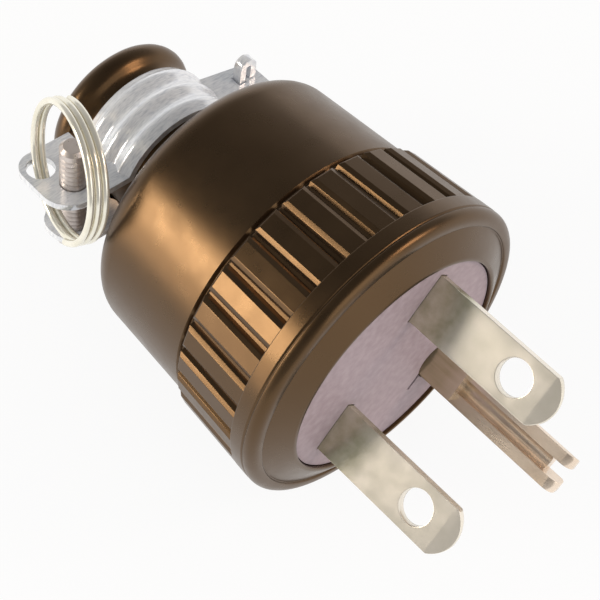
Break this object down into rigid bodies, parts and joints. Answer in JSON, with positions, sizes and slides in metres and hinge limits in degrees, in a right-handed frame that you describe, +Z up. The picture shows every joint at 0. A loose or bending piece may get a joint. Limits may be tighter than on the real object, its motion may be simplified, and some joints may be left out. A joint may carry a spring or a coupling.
{
  "type": "rubber power plug",
  "caption": "Round rubber power plug with in-line blades, a U-section earth pin, a ribbed grip and a two-strap cord clamp that carries a split ring.",
  "frame": {"origin": "centre of the insulating disc's front face", "axes": "+Z up from the surface that the plug lies on; +X runs forward past the blades' tips, level, with the plug's own axis raised 5.9 degrees above it; the plug is rolled 14.0 degrees so that the clamp's hook side is the lower one"},
  "size_m": [0.0661, 0.0372, 0.0374],
  "materials": {
    "rubber": "satin moulded rubber with a warm sheen",
    "fibre": "matt lilac-grey fibre sheet",
    "plated_brass": "dull nickel plating over brass",
    "earth_screw": "green lacquer over brass",
    "zinc_steel": "bright zinc plating",
    "ring_steel": "cream nickel plating"
  },
  "bodies": {
    "plug": {"rubber_body": "rubber", "insulating_disc": "fibre", "left_blade": "plated_brass", "right_blade": "plated_brass", "earth_pin": "plated_brass", "left_terminal_screw": "plated_brass", "right_terminal_screw": "plated_brass", "earth_terminal_screw": "earth_screw", "upper_clamp_strap": "zinc_steel", "lower_clamp_strap": "zinc_steel", "clamp_screw": "zinc_steel"},
    "ring": {"split_ring": "ring_steel"}
  },
  "joints": [
    {"name": "ring_swing", "type": "hinge", "parent": "plug", "child": "ring", "pos_m": [-0.04096, -0.013, 0.00231], "axis": [0.1004, -0.2419, -0.9651], "range_deg": [0, 75]}
  ]
}
